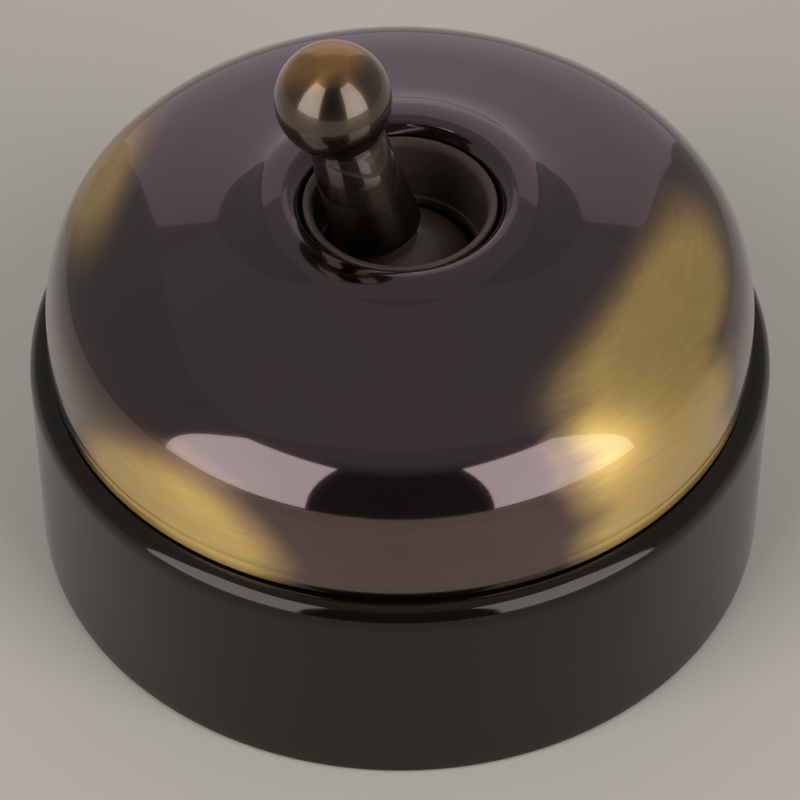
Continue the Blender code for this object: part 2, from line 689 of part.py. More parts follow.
def wing_line():
    """The middle of the contact rocker's strip, rising from the fulcrum to both ends."""
    slope = math.radians(WING_ANGLE)
    end = (WING_LENGTH * math.cos(slope), WING_MIDDLE + WING_LENGTH * math.sin(slope))
    return [(-end[0], end[1]), (0, WING_MIDDLE), end]


def make_contact_rocker():
    rocker_axis = make_axis("contact_axis", FULCRUM_HEIGHT, ROCKER_TILT)
    strip = bent_strip("contact_rocker", wing_line(), ROCKER_WIDTH, STRIP_THICKNESS)
    as_part(strip, "contact_copper", parent=rocker_axis)
    slope = math.radians(WING_ANGLE)
    drop = STRIP_THICKNESS / 2 + TIP_GAP + TIP_HEIGHT
    for side, label in ((-1, "left"), (1, "right")):
        x = TIP_REACH * math.cos(slope) + drop * math.sin(slope)
        z = WING_MIDDLE + TIP_REACH * math.sin(slope) - drop * math.cos(slope)
        tip = cylinder(f"moving_contact_tip_{label}", TIP_RADIUS, TIP_HEIGHT, FINE)
        as_part(tip, "contact_silver", (side * x, 0, z), (0, -side * WING_ANGLE, 0), rocker_axis)


def make_fixed_contacts():
    length = STRIP_OUTER_X - STRIP_INNER_X
    middle = (STRIP_OUTER_X + STRIP_INNER_X) / 2
    tip_bottom = STRIP_BOTTOM + STRIP_THICKNESS + TIP_GAP
    for side, label in ((-1, "left"), (1, "right")):
        strip = box(f"fixed_contact_{label}", (length, STRIP_WIDTH, STRIP_THICKNESS), BLOCK_ROUND)
        as_part(strip, "contact_copper", (side * middle, 0, STRIP_BOTTOM))
        tip = cylinder(f"fixed_contact_tip_{label}", TIP_RADIUS, TIP_HEIGHT, FINE)
        as_part(tip, "contact_silver", (side * FIXED_TIP_X, 0, tip_bottom))


def make_saddle():
    """The common contact: a knife-edge ridge for the rocker, on a tongue that runs to its terminal."""
    length = TONGUE_END_Y + SADDLE_DEPTH / 2
    tongue = box("common_saddle", (2 * SADDLE_HALF_WIDTH, length, STRIP_THICKNESS), BLOCK_ROUND)
    saddle = as_part(tongue, "contact_copper", (0, TONGUE_END_Y - length / 2, SEAT))

    def ridge(bm):
        height = SADDLE_TOP - SEAT - STRIP_THICKNESS / 2
        bmesh.ops.create_cube(bm, size=1)
        bmesh.ops.scale(bm, vec=(2 * RIDGE_HALF_WIDTH, SADDLE_DEPTH, height), verts=bm.verts)
        for vertex in bm.verts:
            if vertex.co.z > 0:
                vertex.co.x = math.copysign(SADDLE_EDGE, vertex.co.x)
        bmesh.ops.translate(bm, vec=(0, 0, height / 2), verts=bm.verts)

    at = (0, RUNNING_GAP, SEAT + STRIP_THICKNESS / 2)
    ridge_object = as_cutter(mesh_object("saddle_ridge", ridge), at)
    combine(saddle, ridge_object, "UNION")


clear_scene()
PARTS = make_collection("toggle_wall_switch")
CUTTERS = make_collection("cutters")
CUTTERS.hide_render = True
MATERIALS = make_materials()
make_base()
make_thread_ring()
make_cover()
make_cup()
make_housing()
make_pin()
make_lever()
make_saddle()
make_contact_rocker()
make_fixed_contacts()
make_terminals()
make_earth_strap()
make_fasteners()
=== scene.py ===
"""The looks of the toggle wall switch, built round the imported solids. Metres, +Z out of the wall."""
import math

import bmesh
import bpy
import numpy as np
from mathutils import Matrix, Vector


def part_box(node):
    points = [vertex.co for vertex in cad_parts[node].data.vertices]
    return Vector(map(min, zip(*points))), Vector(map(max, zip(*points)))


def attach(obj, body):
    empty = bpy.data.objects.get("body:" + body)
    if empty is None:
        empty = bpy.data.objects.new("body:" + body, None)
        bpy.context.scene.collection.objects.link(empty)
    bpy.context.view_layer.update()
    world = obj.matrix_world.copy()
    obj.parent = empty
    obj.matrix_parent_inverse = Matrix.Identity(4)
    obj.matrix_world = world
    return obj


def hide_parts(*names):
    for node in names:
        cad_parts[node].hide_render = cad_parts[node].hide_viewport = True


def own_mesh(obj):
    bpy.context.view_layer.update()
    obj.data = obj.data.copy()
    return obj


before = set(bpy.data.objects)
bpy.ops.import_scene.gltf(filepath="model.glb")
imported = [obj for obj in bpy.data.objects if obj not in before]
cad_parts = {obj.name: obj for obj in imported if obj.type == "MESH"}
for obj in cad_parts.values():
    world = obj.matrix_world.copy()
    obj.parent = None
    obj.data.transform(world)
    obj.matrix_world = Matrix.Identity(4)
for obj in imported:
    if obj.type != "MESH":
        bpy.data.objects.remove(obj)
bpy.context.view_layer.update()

MM = 0.001
SHARP_EDGE = 35.0  # degrees

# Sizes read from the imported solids
BASE_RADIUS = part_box("porcelain_base")[1].x
SPIGOT_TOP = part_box("porcelain_base")[1].z
COVER_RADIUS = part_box("brass_cover")[1].x
COVER_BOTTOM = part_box("brass_cover")[0].z
CUP_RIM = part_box("toggle_cup")[1].z
CUP_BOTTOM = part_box("toggle_cup")[0].z

# The view: a long lens looking down at the switch from in front
CAMERA_ELEVATION = 46.357
CAMERA_DISTANCE = 0.32215
CAMERA_TARGET = (0, 0, 11.91 * MM)
CAMERA_LENS = 167.6

# Studio: distances in metres, the sides of boxes and sheets as shares of their distance
FLOOR_COLOUR = (0.62, 0.575, 0.525)
FLOOR_HALF_SIDE = 3.0
FLOOR_DROP = 0.02 * MM  # keeps the floor just below the base's foot
ROOM_COLOUR = (1.0, 0.985, 0.97)
ROOM = 0.27
ROOM_GAP = 0.06
GAP_AHEAD = (-0.45, -0.15)  # the dark gap fades out over these y, z and sideways x of a unit vector
GAP_UPWARD = (0.80, 0.97)
GAP_SIDEWAYS = (0.45, 0.75)
BOX_AZIMUTH = 47.5
BOX_DISTANCE = 1.0
BOX_HALF_WIDTH = 0.395
BOX_TOP = 1.75
BOX_BOTTOM = 0.03
BOX_RADIANCE = 2.65
BACKDROP_DISTANCE = 1.2
BACKDROP_HALF_WIDTH = 0.49
BACKDROP_BOTTOM = 0.01
BACKDROP_TOP = 0.97
BACKDROP_COLOUR = (1.0, 0.88, 0.98)
BACKDROP_RADIANCE = 0.55
CEILING_HEIGHT = 1.9
CEILING_HALF_WIDTH = 0.5
CEILING_FRONT = -0.08
CEILING_BACK = 1.1
CEILING_COLOUR = (1.0, 0.98, 0.97)
CEILING_RADIANCE = 0.30

# Finishes, with linear colours. Rough: where bronzed, where brushed. Lacquer: its weight, its roughness
COVER_FINISH = {
    "dark": (0.072, 0.040, 0.046),
    "warm": (0.19, 0.115, 0.068),
    "gold": (0.78, 0.525, 0.155),
    "rough": (0.10, 0.42),
    "lacquer": (1.0, 0.02),
}
KNOB_FINISH = {
    "dark": (0.070, 0.049, 0.038),
    "warm": (0.17, 0.088, 0.038),
    "gold": (0.44, 0.215, 0.045),
    "rough": (0.28, 0.25),
    "lacquer": (0.9, 0.03),
    "coordinates": "own",  # the places kept from before the lever leans
}
LACQUER_IOR = 1.6
GLAZE = ((0.0018, 0.0014, 0.0010), (0.0030, 0.0023, 0.0017))
GLAZE_TINT = (1.0, 0.90, 0.80)
BISCUIT = ((0.060, 0.042, 0.032), (0.105, 0.078, 0.060))
BROWN_MOULDING = (0.050, 0.0345, 0.0275)
BAKELITE = (0.016, 0.009, 0.007)
WORN_EDGE = (0.075, 0.045, 0.036)
FIBRE = ((0.10, 0.035, 0.018), (0.17, 0.07, 0.035))
BRASS = (0.62, 0.44, 0.19)
COPPER = (0.66, 0.36, 0.22)
SILVER = (0.82, 0.81, 0.78)
STEEL = (0.55, 0.55, 0.54)
HAIRLINES = 5200.0  # turning marks, as a noise scale

# The CAD nodes that are shown as they are, by finish
SIDES = ("left", "right")
TERMINALS = ("common", *SIDES, "earth")
CARRIED = {
    "bakelite": ["mechanism_housing"],
    "terminal_brass": ["earth_strap"] + [f"terminal_block_{terminal}" for terminal in TERMINALS],
    "contact_copper": ["common_saddle", "fixed_contact_left", "fixed_contact_right", "contact_rocker"],
    "contact_silver": [f"{kind}_contact_tip_{side}" for kind in ("fixed", "moving") for side in SIDES],
    "steel": ["pivot_pin", "knob_stud", "plunger"],
    "fibre_lining": ["cover_insulating_liner"],
}

# Porcelain base
LEDGE_HEIGHT = 20.0 * MM
SHOULDER_ROUND = 2.4 * MM
SHOULDER_POWER = 2.8
SHOULDER_STEPS = 40
FOOT_ROUND = 0.6 * MM
RECESS_RADIUS = 25.0 * MM
WEB_BOTTOM = 5.0 * MM
WEB_TOP = 9.0 * MM
CAVITY_RADIUS = 24.5 * MM
CAVITY_ROUND = 1.0 * MM
SPIGOT_RADIUS = 27.0 * MM
GLAZE_ROUND = 0.4 * MM
STEP_ROUND = 0.3 * MM
BARE_RING = (0.05 * MM, 0.35 * MM)  # the glaze begins between these heights

# Spun cover
COVER_THICKNESS = 0.8 * MM
DOME_START = 18.9 * MM
DOME_HEIGHT = 15.09 * MM
DOME_SIDE_POWER = 5.842
DOME_TOP_POWER = 3.962
SKIRT_TOP = 22.8 * MM
THROAT_BOTTOM = 33.4 * MM
LIP_SLOPES = (  # radius in mm, and how steeply the cover falls outwards there in degrees
    (8.3, -65.0),
    (8.75, -45.0),
    (9.35, -12.0),
    (9.7, 0.0),
    (11.2, 12.0),
    (12.1, 27.0),
    (13.0, 20.0),
    (15.0, 12.0),
    (20.0, 11.5),
    (24.0, 18.5),
)
LIP_STEPS = 12
LIP_GAP = 0.1 * MM  # between the last point of the lip and the first of the dome
DOME_STEPS = 240
RIM_LINE_HEIGHT = 1.35 * MM
RIM_LINE_DEPTH = 0.025 * MM
RIM_LINE_HALF = 0.12 * MM
RIM_TAPER = (0.06 * MM, 0.03 * MM)  # inwards and upwards, at the skirt's edge
RIM_TAPER_TOP = 0.2 * MM
SHOULDER_AT = (22.0 * MM, 23.0 * MM)  # the middle of the shoulder's curve, which climbs are measured from
COVER_SPOTS = (  # where the brass is rubbed bright: (azimuth, climb), half sizes in degrees, strength
    ((64, 77), (42, 33), 1.1),
    ((49, 60), (26, 30), 1.1),
    ((48, 34), (25, 50), 1.1),
    ((48, -8), (25, 60), 1.15),
    ((-39, -4), (27, 54), 1.15),
    ((-104, 67), (28, 24), 0.7),
    ((158, 5), (26, 46), 1.0),
)
SPOT_FADE = (0.25, 1.20)
SKIRT_RELIEF = 0.22
SKIRT_FADE = (30, 50)

# Toggle cup
CUP_OUTER = 8.02 * MM
CUP_INNER = 7.15 * MM
CUP_RIM_ROUND = 0.7 * MM
CUP_FLOOR_INNER = 7.0 * MM
CUP_FLOOR_TOP = 29.8 * MM
CUP_FLOOR_BOTTOM = 29.0 * MM
CUP_OPENING = 6.75 * MM
CUP_UNDERCUT = 7.8 * MM
CUP_EDGE = 0.15 * MM
CUP_FILLET = 0.4 * MM
CUP_WORN = 0.12 * MM
CUP_FLANGE_RADIUS = 12.4 * MM
CUP_FLANGE_TOP = 29.8 * MM
CUP_FLANGE_ROUND = 0.2 * MM
CUP_SCREW_X = 10.4 * MM
CUP_HOLE_RADIUS = 1.2 * MM

# Lever, along its own axis from the pivot
PIVOT_HEIGHT = 24.3 * MM
LEAN = 13.4
BALL_CENTRE = 23.0 * MM
BALL_RADIUS = 4.745 * MM
STEM_TOP_RADIUS = 3.1 * MM
STEM_FOOT_RADIUS = 3.85 * MM
STEM_FOOT = 8.6 * MM
STEM_ROUND = 0.3 * MM
STEM_END = STEM_FOOT + 0.35 * MM  # where the taper stops
STEM_FILLET = 0.12 * MM
STUD_HOLE = 1.55 * MM
STUD_TOP = 14.9 * MM
STUD_BOTTOM = 4.6 * MM
CAP_RADIUS = 7.85 * MM
CAP_THICKNESS = 0.8 * MM
CAP_HALF_ANGLE = 60.0
CAP_UNDERCUT = 30.0
CAP_SEAT = STEM_FOOT - 0.3 * MM
COLLAR_RADIUS = 3.2 * MM
NECK_TOP = 6.2 * MM
NECK_RADIUS = 2.6 * MM
HUB_RADIUS = 3.8 * MM
TAIL_BOTTOM = -6.8 * MM
TAIL_CHAMFER = 0.3 * MM
BORE_RADIUS = 1.6 * MM
BORE_END = -2.4 * MM
PIN_HOLE_RADIUS = 1.1 * MM
PIN_HOLE_REACH = 9.0 * MM

# Plunger spring, between the plunger's shoulder and the end of the bore
SPRING_BOTTOM = -5.32 * MM
SPRING_TOP = -2.68 * MM
SPRING_COIL_RADIUS = 1.05 * MM
SPRING_WIRE_RADIUS = 0.18 * MM
SPRING_TURNS = 4
SPRING_STEPS = 40  # in each turn

# Holes through the base's web
WALL_SCREW_AT = (10.0 * MM, 15.0 * MM)  # and the point opposite it
WALL_SCREW_RADIUS = 2.25 * MM
COUNTERSINK_RADIUS = 4.2 * MM
MECHANISM_SCREW_AT = (9.5 * MM, -10.5 * MM)  # and the point opposite it
MECHANISM_HOLE_RADIUS = 1.6 * MM
COUNTERBORE_RADIUS = 2.9 * MM
COUNTERBORE_TOP = 6.9 * MM
CABLE_SLOT_AT = (3.0 * MM, -18.5 * MM)
CABLE_SLOT_SIZE = (12.0 * MM, 7.0 * MM)
CABLE_HOLE_AT = (-8.5 * MM, 18.5 * MM)
CABLE_HOLE_RADIUS = 3.0 * MM
OVERCUT = 1.0 * MM  # how far a cutter sticks out

# Rolled thread of the ring that holds the cover
THREAD_PITCH = 1.75 * MM
THREAD_DEPTH = 0.3 * MM
THREAD_FADE = 0.5 * MM
THREAD_RING_INNER = SPIGOT_RADIUS + 0.3 * MM
THREAD_MARGIN = 0.01 * MM
THREAD_STEPS = 64

# Screws: head radius, head height, shank radius, shank length
TERMINAL_SCREW = (2.0 * MM, 1.5 * MM, 1.15 * MM, 2.9 * MM)
CUP_SCREW = (1.7 * MM, 1.2 * MM, 0.9 * MM, 6.0 * MM)
MECHANISM_SCREW = (2.4 * MM, 1.5 * MM, 1.3 * MM, 7.0 * MM)
SLOT_WIDTH = 0.6 * MM
SLOT_DEPTH = 0.6 * MM
HEAD_ROUND = 0.22  # of the head's height
HEAD_DOME = 0.02 * MM
HEAD_CHAMFER = 0.05 * MM
SCREW_PITCH = 0.4 * MM
SCREW_THREAD_DEPTH = 0.14 * MM
SCREW_POINT = (0.1 * MM, 0.3 * MM)  # inwards and upwards
SCREW_TIP = 0.6  # of the shank's radius
SCREWS = (  # node, sizes, finish, turn of the slot in degrees, 1 where the head is up and -1 where down
    ("terminal_screw_right", TERMINAL_SCREW, "terminal_brass", 30.0, 1),
    ("terminal_screw_left", TERMINAL_SCREW, "terminal_brass", 30.0, 1),
    ("terminal_screw_common", TERMINAL_SCREW, "terminal_brass", 120.0, 1),
    ("terminal_screw_earth", TERMINAL_SCREW, "terminal_brass", 237.2, 1),
    ("cup_screw_left", CUP_SCREW, "steel", 0.0, 1),
    ("cup_screw_right", CUP_SCREW, "steel", 0.0, 1),
    ("mechanism_screw_1", MECHANISM_SCREW, "steel", 20.0, -1),
    ("mechanism_screw_2", MECHANISM_SCREW, "steel", 75.0, -1),
)


# ---------------------------------------------------------------- shapes

def arc(centre, radius, start, end, steps):
    """Points round part of a circle, both ends included; angles in degrees from +X towards +Z."""
    points = []
    for step in range(steps + 1):
        angle = math.radians(start + (end - start) * step / steps)
        points.append((centre[0] + radius * math.cos(angle), centre[1] + radius * math.sin(angle)))
    return points


def line(start, end, steps):
    """Evenly spaced points between two points, without the first."""
    return [
        (start[0] + (end[0] - start[0]) * step / steps, start[1] + (end[1] - start[1]) * step / steps)
        for step in range(1, steps + 1)
    ]


def turned(name, outline, segments, closed=False):
    """A solid of revolution about Z. The outline runs down the outer side; closed joins its two ends."""
    outline = np.array(outline)
    rings = []
    bm = bmesh.new()
    for radius, height in outline:
        if radius == 0:
            rings.append([bm.verts.new((0, 0, height))])
            continue
        ring = []
        for index in range(segments):
            angle = 2 * math.pi * index / segments
            ring.append(bm.verts.new((radius * math.cos(angle), radius * math.sin(angle), height)))
        rings.append(ring)
    pairs = list(zip(rings, rings[1:]))
    if closed:
        pairs.append((rings[-1], rings[0]))
    for upper, lower in pairs:
        for index in range(segments):
            following = (index + 1) % segments
            if len(upper) == 1 and len(lower) == 1:
                continue
            if len(upper) == 1:
                corners = [upper[0], lower[index], lower[following]]
            elif len(lower) == 1:
                corners = [upper[index], lower[0], upper[following]]
            else:
                corners = [upper[index], lower[index], lower[following], upper[following]]
            bm.faces.new(corners)
    return finished(name, bm)


def linked(name, data):
    """A new object in the scene."""
    obj = bpy.data.objects.new(name, data)
    bpy.context.scene.collection.objects.link(obj)
    return obj


def shade(mesh):
    """Smooth shading, except at edges that are really sharp."""
    mesh.shade_smooth()
    mesh.set_sharp_from_angle(angle=math.radians(SHARP_EDGE))


def finished(name, bm):
    """The shaded mesh object of a bmesh."""
    mesh = bpy.data.meshes.new(name)
    bm.to_mesh(mesh)
    bm.free()
    shade(mesh)
    return linked(name, mesh)


def apply_modifiers(obj):
    """Turns an object's modifiers into its mesh."""
    graph = bpy.context.evaluated_depsgraph_get()
    mesh = bpy.data.meshes.new_from_object(obj.evaluated_get(graph))
    obj.modifiers.clear()
    obj.data = mesh
    shade(mesh)


def cut(target, *tools):
    """Takes the tools out of the target, and removes them."""
    for tool in tools:
        modifier = target.modifiers.new("Cut", "BOOLEAN")
        modifier.operation = "DIFFERENCE"
        modifier.solver = "MANIFOLD"
        modifier.object = tool
    apply_modifiers(target)
    for tool in tools:
        bpy.data.objects.remove(tool, do_unlink=True)


def prism(name, corners, low, high):
    """A straight-sided block that stands on the (x, y) corners, given anticlockwise."""
    bm = bmesh.new()
    bottom = [bm.verts.new((x, y, low)) for x, y in corners]
    top = [bm.verts.new((x, y, high)) for x, y in corners]
    bm.faces.new(bottom[::-1])
    bm.faces.new(top)
    for index in range(len(corners)):
        following = (index + 1) % len(corners)
        bm.faces.new([bottom[index], bottom[following], top[following], top[index]])
    return finished(name, bm)


def moved(obj, location, turn=0.0, flip=False):
    """Bakes a turn about Z, or a flip head over heels, and a place into the mesh."""
    if flip:
        obj.data.transform(Matrix.Rotation(math.pi, 4, "X"))
    obj.data.transform(Matrix.Rotation(math.radians(turn), 4, "Z"))
    obj.data.transform(Matrix.Translation(location))
    return obj


def opposite(point):
    """The point on the other side of the axis."""
    return (-point[0], -point[1])


def piece(obj, material, body, *nodes, slot):
    """Gives a piece its material and its body, and hides the CAD nodes that it stands for. The slot is
    not used.
    """
    obj.data.materials.clear()
    obj.data.materials.append(material)
    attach(obj, body)
    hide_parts(*nodes)


# ---------------------------------------------------------------- materials

class Nodes:
    """A short way to build the nodes of a material or a world."""

    def __init__(self, owner, coordinates="Object"):
        owner.use_nodes = True
        self.owner = owner
        self.tree = owner.node_tree
        self.shader = self.tree.nodes.get("Principled BSDF") or self.tree.nodes["Background"]
        if coordinates == "own":
            self.place = self.add("ShaderNodeAttribute", attribute_name="own").outputs["Vector"]
        else:
            self.place = self.add("ShaderNodeTexCoord").outputs[coordinates]

    def add(self, kind, **settings):
        """A new node with its settings."""
        node = self.tree.nodes.new(kind)
        for key, value in settings.items():
            setattr(node, key, value)
        return node

    def set(self, socket, value):
        """Feeds a socket with another socket, a number or a colour."""
        if isinstance(value, bpy.types.NodeSocket):
            self.tree.links.new(value, socket)
        elif isinstance(value, tuple):
            socket.default_value = (*value, 1)
        else:
            socket.default_value = value

    def maths(self, operation, *values):
        """The outcome of a sum on sockets and numbers."""
        node = self.add("ShaderNodeMath", operation=operation)
        for socket, value in zip(node.inputs, values):
            self.set(socket, value)
        return node.outputs[0]

    def varied(self, base, noise, amount):
        """The base value, moved up and down by a noise round its middle."""
        return self.maths("MULTIPLY_ADD", self.maths("SUBTRACT", noise, 0.5), amount, base)

    def split(self):
        """The place's x, y and z."""
        node = self.add("ShaderNodeSeparateXYZ")
        self.set(node.inputs[0], self.place)
        return node.outputs

    def ramp(self, value, low, high, to_low=0.0, to_high=1.0):
        """A smooth step from one value to another."""
        node = self.add("ShaderNodeMapRange", interpolation_type="SMOOTHSTEP")
        for socket, item in zip(node.inputs, (value, low, high, to_low, to_high)):
            self.set(socket, item)
        return node.outputs[0]

    def mix(self, share, first, second):
        """A colour between two colours, each a socket or (red, green, blue)."""
        node = self.add("ShaderNodeMix", data_type="RGBA")
        self.set(node.inputs["Factor"], share)
        self.set(node.inputs[6], first)
        self.set(node.inputs[7], second)
        return node.outputs[2]

    def scaled(self, x, y, z):
        """The place, stretched along each axis."""
        node = self.add("ShaderNodeMapping")
        self.set(node.inputs["Vector"], self.place)
        node.inputs["Scale"].default_value = (x, y, z)
        return node.outputs[0]

    def noise(self, scale, detail, roughness, vector=None):
        """Noise from 0 to 1, at the place unless a vector is given."""
        node = self.add("ShaderNodeTexNoise")
        self.set(node.inputs["Vector"], vector or self.place)
        node.inputs["Scale"].default_value = scale
        node.inputs["Detail"].default_value = detail
        node.inputs["Roughness"].default_value = roughness
        return node.outputs[0]

    def attribute(self, name):
        """What paint stored on the vertices."""
        return self.add("ShaderNodeAttribute", attribute_name=name).outputs["Fac"]

    def round_place(self, around, upward):
        """Coordinates that run round Z, so that noise on them makes rings: (angle, radius, height)."""
        x, y, z = self.split()
        angle = self.maths("ARCTAN2", y, x)
        square = self.maths("MULTIPLY_ADD", x, x, self.maths("MULTIPLY", y, y))
        radius = self.maths("SQRT", square)
        joined = self.add("ShaderNodeCombineXYZ")
        self.set(joined.inputs[0], self.maths("MULTIPLY", angle, around))
        self.set(joined.inputs[1], self.maths("MULTIPLY", radius, upward))
        self.set(joined.inputs[2], self.maths("MULTIPLY", z, upward))
        return joined.outputs[0]

    def bump(self, height, distance, strength):
        """A normal that follows a height."""
        node = self.add("ShaderNodeBump")
        node.inputs["Strength"].default_value = strength
        node.inputs["Distance"].default_value = distance
        self.set(node.inputs["Height"], height)
        return node.outputs[0]

    def around(self):
        """The direction of the turning marks, round the switch's axis."""
        return self.add("ShaderNodeTangent", direction_type="RADIAL", axis="Z").outputs["Tangent"]

    def finish(self, **sockets):
        """Sets the shader's sockets, with _ for a space, and returns the material or world."""
        for key, value in sockets.items():
            self.set(self.shader.inputs[key.replace("_", " ")], value)
        return self.owner


def material_nodes(name, coordinates="Object"):
    """The nodes of a new material."""
    return Nodes(bpy.data.materials.new(name), coordinates)


def antique_brass(name, dark, warm, gold, rough, lacquer, coordinates="Object"):
    """Bronzed brass under lacquer, brushed through to bright metal where the relief attribute is high."""
    n = material_nodes(name, coordinates)
    relief = n.attribute("relief")
    hairs = n.noise(1.0, 3.0, 0.6, n.round_place(16.0, HAIRLINES))
    strokes = n.noise(1.0, 4.0, 0.6, n.round_place(9.0, 2100.0))
    cloud = n.noise(150.0, 4.0, 0.5)
    wide = n.noise(75.0, 2.0, 0.5)
    rubbed = relief
    for noise, amount in ((cloud, 0.14), (strokes, 0.08), (hairs, 0.12)):
        rubbed = n.varied(rubbed, noise, amount)
    half = n.ramp(rubbed, 0.06, 0.45)
    full = n.ramp(rubbed, 0.30, 0.95)
    greener = (dark[0] * 0.98, dark[1] * 1.10, dark[2] * 0.98)
    tone = n.mix(n.ramp(wide, 0.3, 0.7), dark, greener)
    bright = n.mix(n.ramp(strokes, 0.35, 0.7), tuple(c * 0.92 for c in gold), gold)
    colour = n.mix(full, n.mix(half, tone, warm), bright)
    brushed = n.ramp(relief, 0.10, 0.45)
    roughness = n.varied(n.maths("MULTIPLY_ADD", brushed, rough[1] - rough[0], rough[0]), strokes, 0.06)
    scratch = n.maths("MULTIPLY", n.maths("SUBTRACT", hairs, 0.5), n.maths("ADD", brushed, 0.04))
    return n.finish(
        Base_Color=colour,
        Metallic=1.0,
        Roughness=roughness,
        Normal=n.bump(scratch, 0.012 * MM, 0.6),
        Coat_Weight=lacquer[0],
        Coat_Roughness=lacquer[1],
        Coat_IOR=LACQUER_IOR,
        Anisotropic=0.7,
        Anisotropic_Rotation=0.25,
        Tangent=n.around(),
    )


def black_porcelain():
    """A near-black brown glaze, glossy and very slightly uneven; bare brown biscuit where it stands."""
    n = material_nodes("black_porcelain")
    sway = n.noise(70.0, 2.0, 0.4)
    pits = n.noise(900.0, 2.0, 0.5)
    grain = n.noise(3800.0, 3.0, 0.6)
    bare = n.attribute("bare")
    glaze = n.mix(n.ramp(sway, 0.35, 0.65), *GLAZE)
    biscuit = n.mix(n.ramp(grain, 0.3, 0.7), *BISCUIT)
    height = n.maths("MULTIPLY_ADD", pits, 0.03, sway)
    height = n.maths("MULTIPLY_ADD", grain, n.maths("MULTIPLY", bare, 0.4), height)
    roughness = n.maths("MULTIPLY_ADD", bare, 0.6, n.ramp(pits, 0.3, 0.7, 0.06, 0.10))
    return n.finish(
        Base_Color=n.mix(bare, glaze, biscuit),
        Roughness=roughness,
        IOR=1.5,
        Specular_Tint=GLAZE_TINT,
        Normal=n.bump(height, 0.10 * MM, 0.5),
    )


def moulded(name, colour, rough, grain):
    """Moulded phenolic: a faint flow marbling, a fine skin, and redder where an edge is worn."""
    n = material_nodes(name)
    flow = n.noise(220.0, 5.0, 0.6)
    skin = n.noise(5200.0, 2.0, 0.5)
    tone = n.mix(n.ramp(flow, 0.3, 0.7), colour, tuple(c * 1.35 for c in colour))
    edge = n.maths("MULTIPLY", n.attribute("worn"), n.ramp(flow, 0.25, 0.6, 0.5, 1.0))
    return n.finish(
        Base_Color=n.mix(edge, tone, WORN_EDGE),
        Roughness=n.ramp(flow, 0.3, 0.7, rough, rough + 0.12),
        IOR=1.5,
        Normal=n.bump(skin, grain, 0.6),
        Specular_IOR_Level=0.45,
    )


def metal(name, colour, rough, tarnish=0.5):
    """Turned or rolled metal: fine machining marks and a little tarnish."""
    n = material_nodes(name)
    lines = n.noise(1.0, 3.0, 0.6, n.scaled(60.0, 60.0, HAIRLINES))
    cloud = n.noise(420.0, 4.0, 0.55)
    dull = tuple(c * 0.55 for c in colour)
    return n.finish(
        Base_Color=n.mix(n.maths("MULTIPLY", n.ramp(cloud, 0.45, 0.75), tarnish), colour, dull),
        Metallic=1.0,
        Roughness=n.ramp(cloud, 0.3, 0.75, rough, rough + 0.18),
        Normal=n.bump(lines, 0.01 * MM, 0.4),
    )


def fibre():
    """Vulcanised fibre: matt, with short felted hairs."""
    n = material_nodes("fibre_lining")
    felt = n.noise(1500.0, 6.0, 0.7)
    tone = n.mix(n.ramp(felt, 0.35, 0.65), *FIBRE)
    return n.finish(Base_Color=tone, Roughness=0.85, Normal=n.bump(felt, 0.05 * MM, 0.6))


# ---------------------------------------------------------------- pieces

def shoulder_points():
    """The rounded edge between the ledge and the wall, from the ledge down."""
    points = []
    for step in range(SHOULDER_STEPS + 1):
        angle = math.radians(90 * (1 - step / SHOULDER_STEPS))
        outward = abs(math.cos(angle)) ** (2 / SHOULDER_POWER) - 1
        upward = abs(math.sin(angle)) ** (2 / SHOULDER_POWER) - 1
        points.append((BASE_RADIUS + SHOULDER_ROUND * outward, LEDGE_HEIGHT + SHOULDER_ROUND * upward))
    return points


def base_outline():
    """From the middle of the web's top, over the spigot and the shoulder, to its underside."""
    top = (SPIGOT_RADIUS - GLAZE_ROUND, SPIGOT_TOP - GLAZE_ROUND)
    inner = (CAVITY_RADIUS + GLAZE_ROUND, SPIGOT_TOP - GLAZE_ROUND)
    foot = (BASE_RADIUS - FOOT_ROUND, FOOT_ROUND)
    floor_edge = CAVITY_RADIUS - CAVITY_ROUND
    outline = [(0, WEB_TOP), (floor_edge, WEB_TOP)]
    outline += arc((floor_edge, WEB_TOP + CAVITY_ROUND), CAVITY_ROUND, -90, 0, 8)[1:]
    outline += arc(inner, GLAZE_ROUND, 180, 90, 6)
    outline += arc(top, GLAZE_ROUND, 90, 0, 6)
    outline += arc((SPIGOT_RADIUS + STEP_ROUND, LEDGE_HEIGHT + STEP_ROUND), STEP_ROUND, 180, 270, 4)
    outline += shoulder_points()
    outline += line(outline[-1], (BASE_RADIUS, foot[1]), 12)
    outline += arc(foot, FOOT_ROUND, 0, -90, 8)[1:]
    outline += arc((RECESS_RADIUS + STEP_ROUND, STEP_ROUND), STEP_ROUND, -90, -180, 4)
    outline += [(RECESS_RADIUS, WEB_BOTTOM), (0, WEB_BOTTOM)]
    return outline


def bored(name, place, steps):
    """A cutter for a stepped hole: the steps are (radius, height), from the top down."""
    outline = [(0, steps[0][1])] + list(steps) + [(0, steps[-1][1])]
    return moved(turned(name, outline, segments=96), (*place, 0))


def stadium(size, place, steps):
    """The corners of a slot with round ends, longer along X."""
    radius = size[1] / 2
    half = size[0] / 2 - radius
    right = arc((place[0] + half, place[1]), radius, -90, 90, steps)
    return right + arc((place[0] - half, place[1]), radius, 90, 270, steps)


